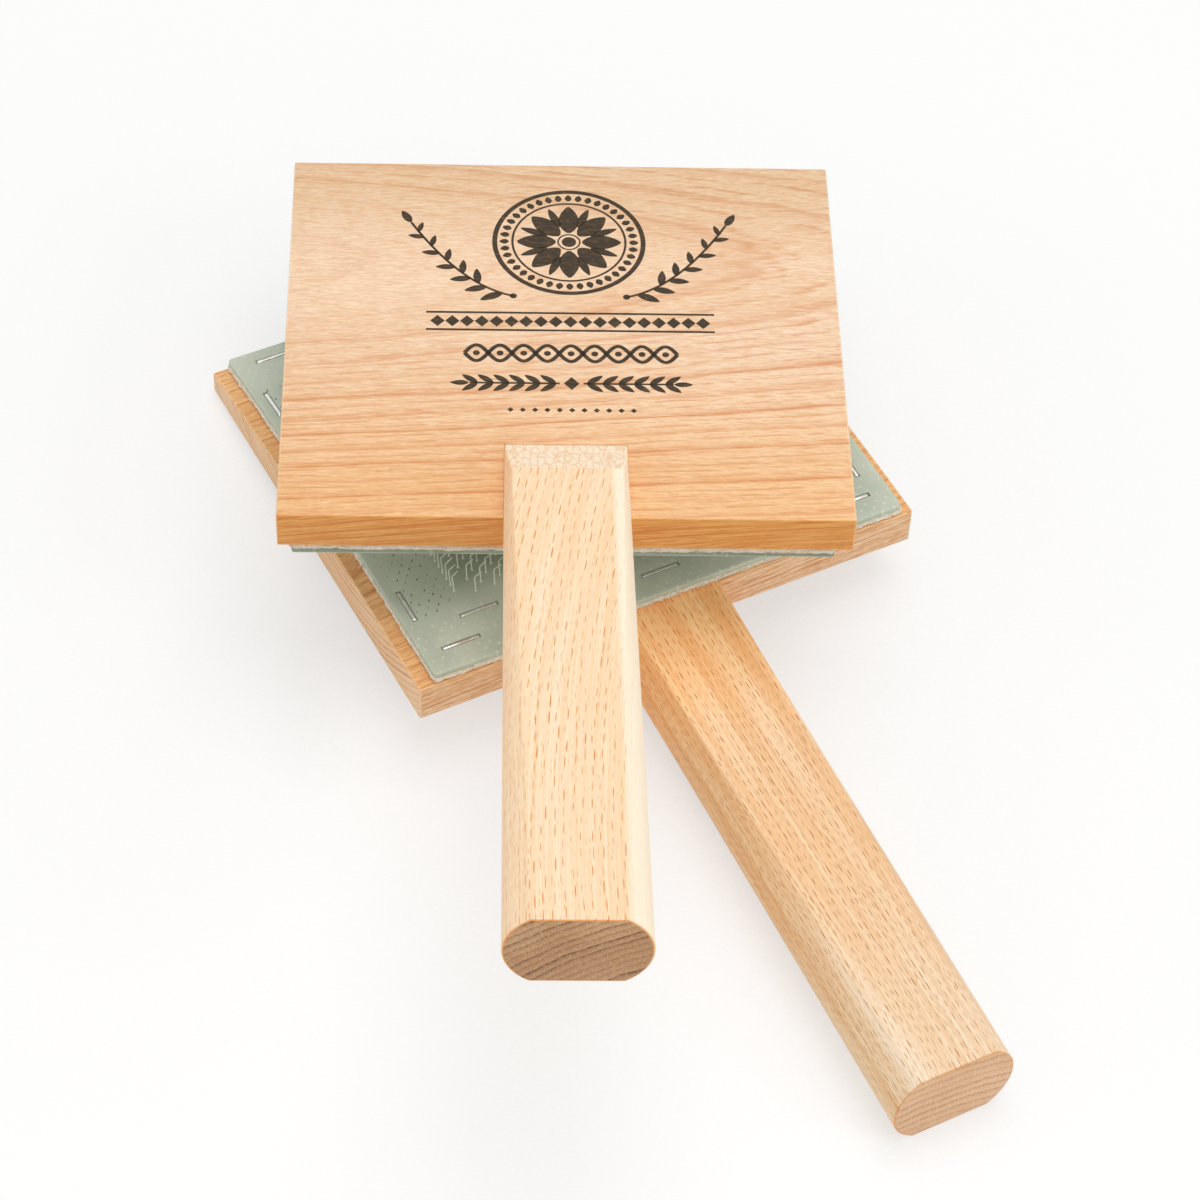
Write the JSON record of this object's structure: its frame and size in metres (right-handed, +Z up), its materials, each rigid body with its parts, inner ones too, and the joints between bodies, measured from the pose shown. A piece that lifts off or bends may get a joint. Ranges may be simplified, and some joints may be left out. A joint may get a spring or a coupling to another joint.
{
  "type": "pair of hand carders",
  "caption": "Two wooden paddles lying teeth to teeth, each a flat board on a tilted handle, faced with rubber-coated cloth set with bent wire teeth for combing fibre.",
  "frame": {"origin": "under the middle of the pair's bounding box, on the surface that the lower card lies on", "axes": "+Z up, +Y from the handles' ends towards the cards' far edges, +X to the right as seen from the handles' ends"},
  "size_m": [0.2334, 0.3432, 0.1269],
  "materials": {
    "board": "sanded bare hardwood, warm tan with fine grain across the board",
    "handle": "sanded bare beech, pale with short brown flecks",
    "cotton": "several plies of cream woven cotton with a frayed cut edge",
    "rubber": "matt grey-green rubber with the marks of the wire's setting",
    "wire": "fine drawn steel wire",
    "staple": "bright galvanised staple wire"
  },
  "bodies": {
    "lower_card": {"lower_back_board": "board", "lower_handle": "handle", "lower_cotton_backing": "cotton", "lower_rubber_face": "rubber", "lower_wire_teeth": "wire", "lower_near_staple_1": "staple", "lower_near_staple_2": "staple", "lower_near_staple_3": "staple", "lower_near_staple_4": "staple", "lower_near_staple_5": "staple", "lower_inner_staple_1": "staple", "lower_inner_staple_2": "staple", "lower_far_staple_1": "staple", "lower_far_staple_2": "staple", "lower_far_staple_3": "staple", "lower_far_staple_4": "staple", "lower_far_staple_5": "staple", "lower_left_staple_1": "staple", "lower_left_staple_2": "staple", "lower_left_staple_3": "staple", "lower_left_staple_4": "staple", "lower_right_staple_1": "staple", "lower_right_staple_2": "staple", "lower_right_staple_3": "staple", "lower_right_staple_4": "staple"},
    "upper_card": {"upper_back_board": "board", "upper_handle": "handle", "upper_cotton_backing": "cotton", "upper_rubber_face": "rubber", "upper_wire_teeth": "wire", "upper_near_staple_1": "staple", "upper_near_staple_2": "staple", "upper_near_staple_3": "staple", "upper_near_staple_4": "staple", "upper_near_staple_5": "staple", "upper_inner_staple_1": "staple", "upper_inner_staple_2": "staple", "upper_far_staple_1": "staple", "upper_far_staple_2": "staple", "upper_far_staple_3": "staple", "upper_far_staple_4": "staple", "upper_far_staple_5": "staple", "upper_left_staple_1": "staple", "upper_left_staple_2": "staple", "upper_left_staple_3": "staple", "upper_left_staple_4": "staple", "upper_right_staple_1": "staple", "upper_right_staple_2": "staple", "upper_right_staple_3": "staple", "upper_right_staple_4": "staple"}
  },
  "joints": [
    {"name": "upper_card_lift", "type": "slide", "parent": "lower_card", "child": "upper_card", "axis": [-0.049, 0.0986, 0.9939], "range_m": [0, 0.12]}
  ]
}
